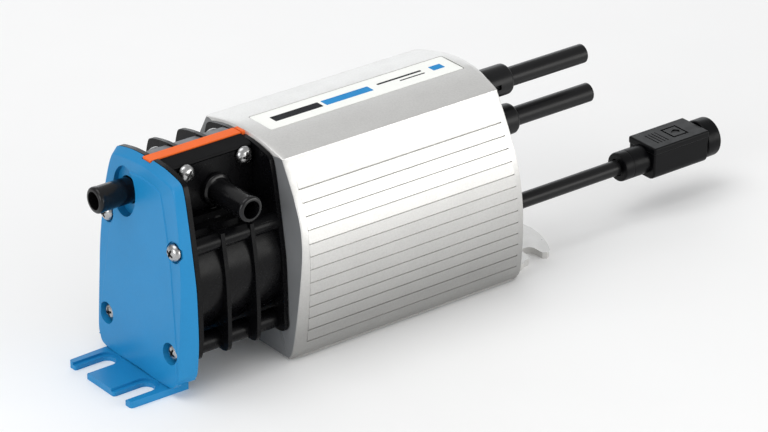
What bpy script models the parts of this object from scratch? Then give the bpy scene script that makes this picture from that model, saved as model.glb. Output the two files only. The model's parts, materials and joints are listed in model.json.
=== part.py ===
"""Compact condensate pump with a peristaltic head: slotted blue front cover, ribbed black pump
housing with two hose ports, grooved silver motor cover, and the roller head, gear train and motor
inside. Lengths below are millimetres from the blue cover's foot line: X runs back along the motor
axis, Z is up from the underside of the feet. The helpers turn them into metres."""

import math

import bmesh
import bpy
from mathutils import Matrix, Vector

MM = 0.001
GAP = 0.3            # clearance kept between pieces that touch on the real pump
ORIGIN_X = 86.0      # the middle of the footprint, where the object's own origin is

# Front cover and its foot
COVER_REAR = 7.9
FACE_LEAN = 0.055    # the face leans back this much for each unit of height
BORDER_STEP = 0.85   # the border lies this far behind the raised panel
FOOT_THICK = 2.8
FOOT_TIP = -16.7
FOOT_HALF = 20.4
SLOT_Y = 12.7
SLOT_R = 3.55
SLOT_END = -5.0

# Pump housing
FLANGE_FRONT = (8.2, 10.2)
FLANGE_REAR = (47.4, 49.2)
RIBS = ((21.6, 23.3), (34.7, 36.4))
AXIS_Z = 41.0
DRUM_R = 26.5
CHAMBER_R = 23.5
CHAMBER_END = 43.0
LOW_BOSS = (20.5, 17.0)
HIGH_BOSS = (21.8, 57.6)

# Hose ports
INLET = (11.0, 70.0)
OUTLET = (30.6, 71.0)
PORT_R = 5.1
BORE_R = 3.5

# Motor cover
RIM_FRONT = 49.5
RIM_EDGE = 50.3      # the outer edge of the slanted band round the mouth
REAR_EDGE = ((0, 160.3), (10, 159.4), (22, 158.1), (34, 156.3), (45, 154.1), (56, 152.2), (64, 151.3),
             (82, 151.0), (84, 152.3), (90, 157.5))    # the rear rim's X at each height
PANEL_EDGE = ((0, 56.3), (8.6, 55.8), (30, 54.6), (52, 52.9), (100, 52.9))    # the lapped panel's front end
REAR_BAND = 3.1      # the plain band behind the lapped panel
LAPS = (72.2, 67.5, 62.8, 57.7, 52.2, 46.9, 41.3, 35.5, 29.9, 24.6, 19.4, 13.9, 8.6)
LAP_TOP = 76.5
LAP_STEP = 0.35
WALL = 2.0

# Roller head
HOSE_R = 3.2
HOSE_RING = 20.0
HOSE_X = 29.0
ROLLER_R = 5.0
ROLLER_RING = 11.5
LEAVE_DEG = 40.0     # where the hose leaves its ring, up from the horizontal

# Gear train
MODULE = 0.8
PRESSURE = math.radians(25.0)
TEETH_PINION = 14
TEETH_WHEEL = 36
TEETH_LAY = 12
TEETH_OUT = 38
LAY_AXIS = (-12.0, 57.0)

for old in list(bpy.data.objects):
    bpy.data.objects.remove(old, do_unlink=True)

parts = bpy.data.collections.new("peristaltic_pump")
cutters = bpy.data.collections.new("cutters")
bpy.context.scene.collection.children.link(parts)
bpy.context.scene.collection.children.link(cutters)

frame = bpy.data.objects.new("pump_frame", None)
frame.location = (-ORIGIN_X * MM, 0, 0)
parts.objects.link(frame)


# ---------------------------------------------------------------- helpers

def paint(name, colour, roughness, metallic=0.0):
    material = bpy.data.materials.new(name)
    material.use_nodes = True
    shader = material.node_tree.nodes["Principled BSDF"]
    shader.inputs["Base Color"].default_value = (*colour, 1.0)
    shader.inputs["Roughness"].default_value = roughness
    shader.inputs["Metallic"].default_value = metallic
    return material


BLUE = (0.035, 0.25, 0.53)
BLACK = (0.012, 0.012, 0.013)
SILVER = (0.62, 0.62, 0.60)
STEEL = (0.55, 0.55, 0.56)


def piece(name, mesh, colour, roughness=0.5, metallic=0.0, origin=(0, 0, 0)):
    """A finished part: its mesh is in the pump's frame, and its origin goes to the given point."""
    at = Vector(origin) * MM
    mesh.transform(Matrix.Translation(-at))
    mesh.materials.clear()
    mesh.materials.append(paint(name, colour, roughness, metallic))
    mesh.shade_smooth()
    mesh.set_sharp_from_angle(angle=math.radians(32))
    obj = bpy.data.objects.new(name, mesh)
    obj.parent = frame
    obj.location = at
    parts.objects.link(obj)
    return obj


def tool(mesh):
    """A closed shape that only cuts or joins other parts."""
    obj = bpy.data.objects.new("tool", mesh)
    obj.parent = frame
    obj.hide_render = True
    obj.display_type = "WIRE"
    cutters.objects.link(obj)
    return obj


def change(obj, mesh, operation):
    modifier = obj.modifiers.new(operation.lower(), "BOOLEAN")
    modifier.object = tool(mesh)
    modifier.operation = operation
    modifier.solver = "MANIFOLD" if obj.get("many_ribs") else "EXACT"


def cut(obj, *meshes):
    for mesh in meshes:
        change(obj, mesh, "DIFFERENCE")


def join(obj, *meshes):
    for mesh in meshes:
        change(obj, mesh, "UNION")


def finish(bm):
    bmesh.ops.remove_doubles(bm, verts=bm.verts, dist=1e-6)
    bmesh.ops.recalc_face_normals(bm, faces=bm.faces)
    mesh = bpy.data.meshes.new("mesh")
    bm.to_mesh(mesh)
    bm.free()
    return mesh


def baked(obj):
    """The evaluated mesh of a temporary object, in the pump's frame."""
    bpy.context.scene.collection.objects.link(obj)
    bpy.context.view_layer.update()
    graph = bpy.context.evaluated_depsgraph_get()
    mesh = bpy.data.meshes.new_from_object(obj.evaluated_get(graph))
    mesh.transform(obj.matrix_world)
    bpy.data.objects.remove(obj, do_unlink=True)
    bm = bmesh.new()
    bm.from_mesh(mesh)
    return finish(bm)


PLANES = {
    "X": Matrix(((0, 0, 1, 0), (1, 0, 0, 0), (0, 1, 0, 0), (0, 0, 0, 1))),   # outline (y, z)
    "Y": Matrix(((1, 0, 0, 0), (0, 0, -1, 0), (0, 1, 0, 0), (0, 0, 0, 1))),  # outline (x, z)
    "Z": Matrix.Identity(4),                                                 # outline (x, y)
}


def plate(outline, low, high, normal="X"):
    """A flat outline made as thick as the stretch from low to high along its normal."""
    curve = bpy.data.curves.new("outline", "CURVE")
    curve.dimensions = "2D"
    curve.fill_mode = "BOTH"
    curve.extrude = (high - low) / 2 * MM
    spline = curve.splines.new("POLY")
    spline.points.add(len(outline) - 1)
    for point, (a, b) in zip(spline.points, outline):
        point.co = (a * MM, b * MM, 0, 1)
    spline.use_cyclic_u = True
    obj = bpy.data.objects.new("plate", curve)
    middle = (low + high) / 2 * MM
    lift = Matrix.Translation((0, 0, -middle if normal == "Y" else middle))
    obj.matrix_world = PLANES[normal] @ lift
    return baked(obj)


def box(low, high, bevel=0.0, steps=1):
    bm = bmesh.new()
    bmesh.ops.create_cube(bm, size=1.0)
    size = [(b - a) * MM for a, b in zip(low, high)]
    centre = [(a + b) / 2 * MM for a, b in zip(low, high)]
    bmesh.ops.scale(bm, vec=size, verts=bm.verts)
    bmesh.ops.translate(bm, vec=centre, verts=bm.verts)
    if bevel:
        bmesh.ops.bevel(bm, geom=bm.edges[:], offset=bevel * MM, segments=steps, profile=0.5,
                        affect="EDGES", clamp_overlap=True)
    return finish(bm)


def direction(axis):
    """Turns +Z into the given direction."""
    return Vector((0, 0, 1)).rotation_difference(Vector(axis)).to_matrix().to_4x4()


def rod(start, axis, length, radius, sides=20, end_radius=None):
    """A plain round bar or cone from a start point."""
    bm = bmesh.new()
    far = radius if end_radius is None else end_radius
    bmesh.ops.create_cone(bm, cap_ends=True, segments=sides, radius1=radius * MM,
                          radius2=far * MM, depth=length * MM)
    bmesh.ops.translate(bm, vec=(0, 0, length / 2 * MM), verts=bm.verts)
    bm.transform(Matrix.Translation(Vector(start) * MM) @ direction(axis))
    return finish(bm)


def turned(profile, start, axis, sides=28):
    """Spins (radius, height) points about the axis. The profile runs from the top, down the outer
    side, to the bottom; it closes on itself when it stays off the axis."""
    mesh = bpy.data.meshes.new("profile")
    bm = bmesh.new()
    verts = [bm.verts.new((r * MM, 0, h * MM)) for r, h in profile]
    for first, second in zip(verts, verts[1:]):
        bm.edges.new((first, second))
    if profile[0][0] > 0 and profile[-1][0] > 0:
        bm.edges.new((verts[-1], verts[0]))
    bm.to_mesh(mesh)
    bm.free()
    obj = bpy.data.objects.new("turned", mesh)
    screw = obj.modifiers.new("spin", "SCREW")
    screw.angle = 2 * math.pi
    screw.steps = sides
    screw.render_steps = sides
    screw.use_merge_vertices = True
    screw.merge_threshold = 0.00001
    obj.matrix_world = Matrix.Translation(Vector(start) * MM) @ direction(axis)
    return baked(obj)


def tube(points, radius, resolution=3):
    """A round cord or bar along a route."""
    curve = bpy.data.curves.new("route", "CURVE")
    curve.dimensions = "3D"
    curve.bevel_depth = radius * MM
    curve.bevel_resolution = resolution
    curve.use_fill_caps = True
    spline = curve.splines.new("POLY")
    spline.points.add(len(points) - 1)
    for point, place in zip(spline.points, points):
        point.co = (*(Vector(place) * MM), 1)
    return baked(bpy.data.objects.new("tube", curve))


def loft(rings):
    """A closed skin over mirror-image rings, each from its bottom middle round by its crown."""
    bm = bmesh.new()
    loops = [[bm.verts.new(Vector(point) * MM) for point in ring] for ring in rings]
    count = len(rings[0])
    for near, far in zip(loops, loops[1:]):
        for i in range(count):
            j = (i + 1) % count
            bm.faces.new((near[i], near[j], far[j], far[i]))
    for loop in (loops[0], loops[-1]):
        for i in range(count // 2):
            corners = (loop[i], loop[i + 1], loop[count - i - 1], loop[-i])
            bm.faces.new(list(dict.fromkeys(corners)))
    return finish(bm)


def between(table, z):
    """The value that a table of (height, value) rows gives at a height."""
    for (z0, x0), (z1, x1) in zip(table, table[1:]):
        if z0 <= z <= z1:
            return x0 + (x1 - x0) * (z - z0) / (z1 - z0)
    return table[-1][1]


def smooth(points, steps=2):
    """A Catmull-Rom curve through the points."""
    padded = [points[0], *points, points[-1]]
    found = []
    for i in range(1, len(padded) - 2):
        p0, p1, p2, p3 = (Vector(p) for p in padded[i - 1:i + 3])
        for k in range(steps):
            t = k / steps
            found.append(0.5 * (2 * p1 + (p2 - p0) * t + (2 * p0 - 5 * p1 + 4 * p2 - p3) * t * t
                                + (3 * p1 - p0 - 3 * p2 + p3) * t ** 3))
    found.append(Vector(points[-1]))
    return [tuple(p) for p in found]


def closed(half):
    """A half outline from its bottom middle to its crown, with the mirrored half added."""
    return half + [(-y, z) for y, z in reversed(half[1:-1])]


def inset(outline, distance):
    """The outline moved inwards, for one that runs anticlockwise."""
    found = []
    count = len(outline)
    for i, here in enumerate(outline):
        before = Vector(outline[i - 1])
        after = Vector(outline[(i + 1) % count])
        here = Vector(here)
        first = (here - before).normalized()
        second = (after - here).normalized()
        left = Vector((-(first.y + second.y), first.x + second.x)).normalized()
        found.append(tuple(here + left * distance / max(0.5, left.dot(Vector((-first.y, first.x))))))
    return found


def arc(centre, radius, start, stop, steps):
    spread = [math.radians(start + (stop - start) * i / steps) for i in range(steps + 1)]
    return [(centre[0] + radius * math.cos(a), centre[1] + radius * math.sin(a)) for a in spread]


def rounded(low, high, radius, steps=3):
    """A rectangle with round corners."""
    found = []
    corners = ((high[0] - radius, low[1] + radius, -90), (high[0] - radius, high[1] - radius, 0),
               (low[0] + radius, high[1] - radius, 90), (low[0] + radius, low[1] + radius, 180))
    for a, b, turn in corners:
        found += arc((a, b), radius, turn, turn + 90, steps)
    return found


def circle(centre, radius, sides=32):
    return arc(centre, radius, 0, 360 - 360 / sides, sides - 1)


def gear(teeth, phase, centre):
    """An involute outline with a little backlash. A tooth's middle points along the phase."""
    pitch = MODULE * teeth / 2
    base = pitch * math.cos(PRESSURE)
    tip = pitch + 0.8 * MODULE
    root = pitch - 1.1 * MODULE
    half = math.pi / (2 * teeth) - 0.05 / pitch + math.tan(PRESSURE) - PRESSURE
    flank = [(root, half - 0.0)] if root < base else []
    start = max(base, root)
    for i in range(3):
        radius = start + (tip - start) * i / 2
        turn = math.acos(min(1.0, base / radius))
        flank.append((radius, half - (math.tan(turn) - turn)))
    found = []
    for tooth in range(teeth):
        middle = phase + 2 * math.pi * tooth / teeth
        for radius, angle in flank:
            found.append((radius, middle - angle))
        for radius, angle in reversed(flank):
            found.append((radius, middle + angle))
    return [(centre[0] + r * math.cos(a), centre[1] + r * math.sin(a)) for r, a in found]


def pan_screw(name, seat, axis, length):
    """A cross-recess pan screw: the seat is under its head, and the axis points out of the head."""
    head = ((0, 2.7), (1.8, 2.5), (3.0, 1.6), (3.5, 0.4), (3.4, 0.0))
    shank = ((1.5, 0.0), (1.5, 1.2 - length), (0.6, -length), (0, -length))
    obj = piece(name, turned(head + shank, seat, axis, 16), STEEL, 0.28, 1.0)
    arm, slim = 1.9, 0.42
    cross = ((arm, slim), (slim, slim), (slim, arm), (-slim, arm), (-slim, slim), (-arm, slim))
    cross += tuple((-a, -b) for a, b in cross)
    recess = plate(cross, 1.1, 4.0, "Z")
    recess.transform(Matrix.Translation(Vector(seat) * MM) @ direction(axis)
                     @ Matrix.Rotation(math.radians(20), 4, "Z"))
    cut(obj, recess)
    return obj


# ---------------------------------------------------------------- outlines

# Half outlines as (half width, height), from the bottom middle to the crown
BODY_HALF = smooth([(0, 6.3), (23.8, 6.3), (26.6, 7.4), (27.9, 10.2), (28.8, 17.0), (29.2, 24.0),
                    (29.0, 34.0), (28.4, 45.0), (26.4, 57.7), (24.9, 66.5), (23.1, 76.0),
                    (21.9, 80.8), (20.4, 83.6), (16.5, 84.9), (10.6, 86.0), (5.0, 86.4), (0, 86.5)])
FACE_HALF = smooth([(0, 6.3), (24.6, 6.3), (27.3, 7.1), (28.2, 9.8), (28.4, 16.5), (27.5, 25.0),
                    (25.6, 34.0), (24.2, 45.0), (22.5, 57.5), (21.6, 66.0), (19.8, 75.0),
                    (18.9, 79.6), (17.3, 81.9), (13.5, 82.6), (8.0, 83.3), (4.0, 83.7), (0, 83.9)])
PANEL_HALF = smooth([(0, 3.0), (20.3, 3.0), (26.2, 6.6), (26.0, 12.0), (25.4, 18.0), (24.7, 23.7),
                     (22.2, 37.8), (19.7, 52.0), (17.5, 61.0), (14.4, 72.0), (12.6, 77.0),
                     (11.3, 78.4), (6.0, 79.5), (0, 79.9)])
SHELL_HALF = smooth([(0, 1.8), (23.0, 1.8), (26.8, 2.4), (29.0, 4.8), (30.4, 9.0), (32.1, 17.0),
                     (33.8, 27.0), (35.4, 38.0), (36.3, 47.5), (36.0, 55.0), (34.8, 61.0),
                     (32.3, 67.6), (28.4, 75.2), (25.3, 80.6), (23.4, 82.5), (18.0, 84.0),
                     (11.9, 85.4), (6.0, 86.1), (0, 86.3)])
SHELL = closed(SHELL_HALF)


def housing_outline(bottom, shrink=0.0):
    """The black housing's outline, which stops short of the blue cover's lower edge."""
    low = [(0, bottom), (22.0, bottom), (25.2, bottom + 1.0), (27.2, bottom + 3.8)]
    side = [(y - shrink, z - shrink * 0.8) for y, z in BODY_HALF
            if z > bottom + 8.0 and y > shrink + 1.0]
    return closed(low + side + [(0, 86.5 - shrink * 0.8)])


# ---------------------------------------------------------------- front cover and foot

def face_ring(half, x_of):
    return [(x_of(z), y, z) for y, z in closed(half)]


def blend_ring(depth, share):
    """A ring between the rear outline and the border's edge."""
    ring = []
    for (y0, z0), (y1, z1) in zip(closed(BODY_HALF), closed(FACE_HALF)):
        border = FACE_LEAN * (z1 - FOOT_THICK) + BORDER_STEP
        ring.append((COVER_REAR + (border - COVER_REAR) * depth,
                     y0 + (y1 - y0) * share, z0 + (z1 - z0) * share))
    return ring


def panel_x(z):
    return FACE_LEAN * (z - FOOT_THICK)


cover_mesh = loft([blend_ring(0.0, 0.0), blend_ring(0.35, 0.12), blend_ring(0.75, 0.5),
                   blend_ring(1.0, 1.0)])
front_cover = piece("front_cover", cover_mesh, BLUE, 0.42)
panel_small = [(y * 0.985, 3.0 + (z - 3.0) * 0.994) for y, z in PANEL_HALF]
panel_mesh = loft([[(panel_x(z) + 3.0, y, z) for y, z in closed(PANEL_HALF)],
                   [(panel_x(z) + 0.3, y, z) for y, z in closed(PANEL_HALF)],
                   [(panel_x(z), y, z) for y, z in closed(panel_small)]])
foot_outline = [(8.6, -FOOT_HALF - 0.4), (8.6, FOOT_HALF + 0.4), (-1.0, FOOT_HALF + 0.4)]
foot_outline += arc((FOOT_TIP + 1.2, FOOT_HALF - 1.2), 1.2, 90, 180, 3)
foot_outline += arc((FOOT_TIP + 1.2, SLOT_Y + SLOT_R + 0.8), 0.8, 180, 270, 2)
foot_outline += arc((SLOT_END, SLOT_Y), SLOT_R, 90, -90, 8)
foot_outline += arc((FOOT_TIP + 1.2, SLOT_Y - SLOT_R - 1.2), 1.2, 90, 180, 3)
foot_outline += [(x, -y) for x, y in reversed(foot_outline[2:])][:-1]
foot_mesh = plate(foot_outline, 0.0, FOOT_THICK, "Z")
web_mesh = box((1.0, -FOOT_HALF, 0.6), (COVER_REAR, FOOT_HALF, 9.0))
join(front_cover, panel_mesh, foot_mesh, web_mesh)

inlet_recess = plate([(10.6 + 7.4 * math.cos(a), 70.2 + 9.8 * math.sin(a))
                      for a in [math.tau * i / 32 for i in range(32)]], -3.0, 6.4)
inlet_hole = rod((-3, *INLET), (1, 0, 0), 16, PORT_R + GAP, 28)
cut(front_cover, inlet_recess, inlet_hole)
for side in (-1, 1):
    seat = rod((-4, side * LOW_BOSS[0], LOW_BOSS[1]), (1, 0, 0), 7.6, 4.2, 24)
    notch = rod((-4, side * HIGH_BOSS[0], HIGH_BOSS[1]), (1, 0, 0), 8.7, 4.0, 24)
    low_hole = rod((-4, side * LOW_BOSS[0], LOW_BOSS[1]), (1, 0, 0), 20, 1.8, 12)
    high_hole = rod((-4, side * HIGH_BOSS[0], HIGH_BOSS[1]), (1, 0, 0), 20, 1.8, 12)
    rim = rod((SLOT_END, side * SLOT_Y, FOOT_THICK - 0.9), (0, 0, 1), 4, 5.4, 24)
    cut(front_cover, seat, notch, low_hole, high_hole, rim)
cut(front_cover, box((6.7, -2.8, 84.6), (12, 2.8, 90)))

# ---------------------------------------------------------------- pump housing

drum = rod((9.0, 0, AXIS_Z), (1, 0, 0), 39.3, DRUM_R, 56)
pump_housing = piece("pump_housing", drum, BLACK, 0.38)
pump_housing["many_ribs"] = True     # EXACT leaves open edges where the ribs meet the bosses
for low, high in RIBS:
    join(pump_housing, plate(housing_outline(13.6, 0.8), low, high))
for side in (-1, 1):
    join(pump_housing,
         rod((9.2, side * LOW_BOSS[0], LOW_BOSS[1]), (1, 0, 0), 38.9, 3.8, 18),
         rod((9.2, side * HIGH_BOSS[0], HIGH_BOSS[1]), (1, 0, 0), 38.9, 3.4, 18))
near_bay = box((0, -40, 61.2), (60, -8.0, 95))
block_pocket = box((0, -9.3, 65.5), (60, 9.3, 95))
lobe_pocket = box((0, 8.5, 65.2), (21.2, 17.3, 76.8))
cut(pump_housing, near_bay, block_pocket, lobe_pocket)
join(pump_housing, plate(housing_outline(14.3), *FLANGE_FRONT),
     plate(housing_outline(14.3, 1.6), *FLANGE_REAR))
chamber = rod((0, 0, AXIS_Z), (1, 0, 0), CHAMBER_END, CHAMBER_R, 56)
shaft_hole = rod((30, 0, AXIS_Z), (1, 0, 0), 30, 6.3, 24)
cut(pump_housing, chamber, shaft_hole)
cut(pump_housing, rod((0, *INLET), (1, 0, 0), 20, BORE_R, 20))
cut(pump_housing, box((0, -2.8, 84.6), (60, 2.8, 95)))
leave = math.radians(LEAVE_DEG)
for side in (-1, 1):
    start = (HOSE_X, side * (HOSE_RING * math.cos(leave) + 1.2 * math.sin(leave)),
             AXIS_Z + HOSE_RING * math.sin(leave) - 1.2 * math.cos(leave))
    way = (0, -side * math.sin(leave), math.cos(leave))
    cut(pump_housing, rod(start, way, 22, HOSE_R + 0.5, 20))
    for boss in (LOW_BOSS, HIGH_BOSS):
        cut(pump_housing, rod((0, side * boss[0], boss[1]), (1, 0, 0), 24, 1.8, 12))

# ---------------------------------------------------------------- valve block, ports and top strips

block_outline = [(9, 65.8), (9, 83.4), (2.8, 84.5), (-2.8, 84.5), (-9, 83.4), (-9, 65.8)]
valve_block = piece("valve_block", plate(block_outline, 10.5, 47.1), BLACK, 0.42)
join(valve_block, box((10.5, 6.0, 65.8), (20.9, 17.0, 76.5)))
hose_y = HOSE_RING * math.cos(leave) - math.tan(leave) * (65.8 - AXIS_Z - HOSE_RING * math.sin(leave))
cut(valve_block,
    rod((5, *INLET), (1, 0, 0), 12.0, 3.0, 16),
    rod((16, hose_y, 70), (0, 1, 0), 7.0, 1.9, 12),
    rod((14.5, hose_y, 70), (1, 0, 0), 16.0, 1.8, 12),
    rod((HOSE_X, hose_y, 60), (0, 0, 1), 11.0, 1.7, 12),
    rod((OUTLET[0], -20, OUTLET[1]), (0, 1, 0), 16.0, 3.0, 16),
    rod((HOSE_X, -hose_y, 60), (0, 0, 1), 13.0, 1.7, 12))

port_end = ((BORE_R, 0.0), (PORT_R - 0.9, 0.0), (PORT_R, 0.9))
inlet_profile = ((BORE_R, 15.4), (PORT_R - 0.9, 15.4), (PORT_R, 14.5), (PORT_R, 0.0), (BORE_R, 0.0))
inlet_port = piece("inlet_port", turned(inlet_profile, (7.6, *INLET), (-1, 0, 0)), BLACK, 0.32)
outlet_profile = ((BORE_R, 22.5), (4.1, 22.5), (4.9, 21.7), (4.9, 2.2), (5.4, 1.7), (6.3, 1.5),
                  (6.3, 0.0), (BORE_R, 0.0))
outlet_port = piece("outlet_port", turned(outlet_profile, (OUTLET[0], -9.3, OUTLET[1]), (0, -1, 0)),
                    BLACK, 0.32)

panel_top = [(-2.75, 84.85), (-2.75, 86.1), (-8.8, 84.7), (-9.1, 83.75)]
label_panel = piece("top_label_panel", plate(panel_top[::-1], 10.5, 47.1), (0.01, 0.01, 0.011), 0.3)
top_strip = piece("top_strip", plate([(-y, z) for y, z in panel_top], 10.5, 47.1),
                  (0.13, 0.13, 0.14), 0.5)
stripe = [(-2.45, 84.9), (2.45, 84.9), (2.45, 86.5), (-2.45, 86.5)]
indicator_strip = piece("indicator_strip", plate(stripe, 7.0, 47.2), (0.9, 0.22, 0.06), 0.45)
indicator_tail = piece("indicator_tail", plate(stripe, 47.7, 49.2), (0.9, 0.22, 0.06), 0.45)

for number, side in enumerate((-1, 1), 1):
    pan_screw(f"front_screw_low_{number}", (3.3, side * LOW_BOSS[0], LOW_BOSS[1]), (-1, 0, 0), 18)
    pan_screw(f"front_screw_high_{number}", (4.4, side * HIGH_BOSS[0], HIGH_BOSS[1]), (-1, 0, 0), 17)
for side, label in ((-1, "near"), (1, "far")):
    for number, x in enumerate((17.4, 43.2), 1):
        pan_screw(f"block_screw_{label}_{number}", (x, side * 9.3, 81.0), (0, side, 0), 7.5)
        cut(valve_block, rod((x, side * 12, 81.0), (0, -side, 0), 11.5, 1.8, 12))

# ---------------------------------------------------------------- motor cover, nameplate, rear cap

def rear_x(z):
    return between(REAR_EDGE, z)


def shell_ring(outline, x_of):
    return [(x_of(z) if callable(x_of) else x_of, y, z) for y, z in outline]


def half_width(z):
    """The cover's half width at a height on its side."""
    return between([(h, y) for y, h in SHELL_HALF if 2.0 < h < 84.0], z)


def laps(side):
    """The lapped boards of one side: each tilts out to a small step at its lower edge."""
    face = [(half_width(LAP_TOP) - 0.3, LAP_TOP)]
    for z in LAPS:
        face += [(half_width(z) + LAP_STEP, z), (half_width(z - 0.05) + 0.08, z - 0.05)]
    face[-1] = (face[-1][0] - 0.4, face[-1][1])
    ends = (lambda z: between(PANEL_EDGE, z), lambda z: rear_x(z) - REAR_BAND)
    bm = bmesh.new()
    skins = [[[bm.verts.new(Vector((x_of(z), side * (y - depth), z)) * MM) for y, z in face]
              for x_of in ends] for depth in (0.0, 1.0)]
    outer, inner = skins
    for i in range(len(face) - 1):
        for near, far in ((outer[0], outer[1]), (inner[0], inner[1]), (outer[0], inner[0]),
                          (outer[1], inner[1])):
            bm.faces.new((near[i], near[i + 1], far[i + 1], far[i]))
    for i in (0, -1):
        bm.faces.new((outer[0][i], outer[1][i], inner[1][i], inner[0][i]))
    return finish(bm)


lip = [(0.8 * y, 14.5 + (z - 1.8) * 0.833) for y, z in SHELL]
motor_cover = piece("motor_cover", loft([
    shell_ring(lip, RIM_FRONT), shell_ring(inset(SHELL, 0.6), RIM_EDGE - 0.2),
    shell_ring(inset(SHELL, 0.3), RIM_EDGE + 0.1), shell_ring(SHELL, lambda z: between(PANEL_EDGE, z) - 0.6),
    shell_ring(SHELL, lambda z: rear_x(z) - REAR_BAND + 0.6), shell_ring(inset(SHELL, 0.5), rear_x)]),
    SILVER, 0.4, 0.3)
motor_cover["many_ribs"] = True
hollow = inset(SHELL, WALL)
cut(motor_cover, loft([shell_ring(hollow, RIM_FRONT + WALL), shell_ring(hollow, 175)]))
mouth = inset(housing_outline(16.0, 3.0), 1.5)
cut(motor_cover, plate(mouth, 40, 60))
cut(motor_cover, box((57.4, -7.3, 85.0), (148.7, 7.3, 90)))
join(motor_cover, laps(-1), laps(1))

nameplate = piece("nameplate", plate(rounded((57.7, -7.0), (148.4, 7.0), 0.6, 2), 85.3, 86.0, "Z"),
                  (0.83, 0.85, 0.82), 0.4)

plug = inset(SHELL, WALL + GAP)
CAP = (3.4, 0.8)     # how far the cap's two faces lie inside the rear rim


def cap_ring(depth):
    return [(rear_x(z) - depth, y, z) for y, z in plug]


rear_cap = piece("rear_cap", loft([cap_ring(CAP[0]), cap_ring(CAP[1])]), SILVER, 0.5)
foot_back = smooth([(162.0, 22.6), (166.0, 22.0), (168.6, 20.6)], 3)
foot_half = foot_back + [(170.9, 20.2), (172.3, 19.0), (172.6, 15.4)]
foot_half += arc((175.9, 15.2), 3.3, 180, 360, 8)[0:]
foot_half += [(179.2, 19.2), (180.6, 20.3)]
foot_half += smooth([(182.2, 19.4), (184.6, 15.2), (186.6, 10.4), (188.2, 5.0), (188.8, 0)], 2)
foot_loop = foot_half + [(x, -y) for x, y in reversed(foot_half[:-1])]
foot_loop += [(161.4, -22.6), (161.4, 22.6)]
join(rear_cap, plate(foot_loop, 0.0, 3.0, "Z"),
     plate([(157.9, 4.4), (157.9, 12.0), (163.4, 9.0), (165.0, 3.0), (165.0, 1.0), (161.4, 1.0),
            (161.4, 4.4)], -20.0, 20.0, "Y"))

# ---------------------------------------------------------------- cables

CABLE_Y = -8.0
CABLES = (("upper", 76.7, 3.85, 206.8, 168.0), ("lower", 59.1, 3.85, 210.4, 171.3))
LEAD_Z = 21.5
LEAD_R = 3.15
LEAD_END = 226.5


def cap_face(z):
    return rear_x(z) - CAP[1]


def straight(start, end, z, pitch):
    count = max(2, round((end - start) / pitch))
    return [(start + (end - start) * i / count, CABLE_Y, z) for i in range(count + 1)]


for label, z, radius, end, sleeve_end in CABLES:
    start = cap_face(z) + 1.0
    bore = radius + GAP
    sleeve = ((bore, 0.0), (4.9, 0.0), (5.8, 0.5), (6.15, 1.6), (6.15, sleeve_end - start),
              (bore, sleeve_end - start))
    piece(f"cable_sleeve_{label}", turned(sleeve, (sleeve_end, CABLE_Y, z), (-1, 0, 0), 24), BLACK, 0.45)
    piece(f"cable_stub_{label}", tube(straight(start, end, z, 14), radius, 4), BLACK, 0.4)
lead_start = cap_face(LEAD_Z) + 1.0
gland = ((LEAD_R + GAP, 6.0), (4.6, 6.0), (5.2, 5.4), (5.6, 0.0), (LEAD_R + GAP, 0.0))
piece("lead_gland", turned(gland, (lead_start, CABLE_Y, LEAD_Z), (1, 0, 0), 20), BLACK, 0.45)
piece("lead", tube(straight(lead_start, LEAD_END, LEAD_Z, 10), LEAD_R, 4), BLACK, 0.4)
relief = ((0, 12.6), (6.0, 12.6), (6.0, 0.5), (5.5, 0.0), (0, 0.0))
piece("strain_relief", turned(relief, (LEAD_END + GAP, CABLE_Y, LEAD_Z), (1, 0, 0), 24), BLACK, 0.4)
body_low = (LEAD_END + 13.2, CABLE_Y - 8.2, LEAD_Z - 7.2)
body_high = (LEAD_END + 42.2, CABLE_Y + 8.2, LEAD_Z + 7.2)
connector_body = piece("connector_body", box(body_low, body_high, 1.2, 2), (0.02, 0.021, 0.025), 0.42)
cut(connector_body, rod((body_high[0] - 4.0, CABLE_Y, LEAD_Z), (1, 0, 0), 8, 5.5, 24))
shroud = ((5.8, 6.8), (7.6, 6.8), (8.5, 5.9), (8.5, 0.0), (5.8, 0.0))
piece("connector_shroud", turned(shroud, (body_high[0] + GAP, CABLE_Y, LEAD_Z), (1, 0, 0), 28),
      BLACK, 0.42)

# ---------------------------------------------------------------- roller head

AXIS = (0, AXIS_Z)
LEFT = HOSE_RING * math.cos(leave), AXIS_Z + HOSE_RING * math.sin(leave)
hose_half = [(HOSE_X, HOSE_RING * math.cos(a), AXIS_Z + HOSE_RING * math.sin(a))
             for a in [math.radians(-90 + (90 + LEAVE_DEG) * i / 10) for i in range(11)]]
hose_half.append((HOSE_X, LEFT[0] - 11.2 * math.sin(leave), LEFT[1] + 11.2 * math.cos(leave)))
hose_route = [(x, -y, z) for x, y, z in reversed(hose_half[1:])] + hose_half
pump_hose = piece("pump_hose", tube(hose_route, HOSE_R - 0.15, 3), (0.02, 0.02, 0.02), 0.6)
longer = [hose_route[0]] + hose_route + [hose_route[-1]]
longer[0] = tuple(Vector(hose_route[0]) * 2 - Vector(hose_route[1]))
longer[-1] = tuple(Vector(hose_route[-1]) * 2 - Vector(hose_route[-2]))
cut(pump_hose, tube([longer[0]] + hose_route[1:-1] + [longer[-1]], 1.6, 1))

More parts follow.
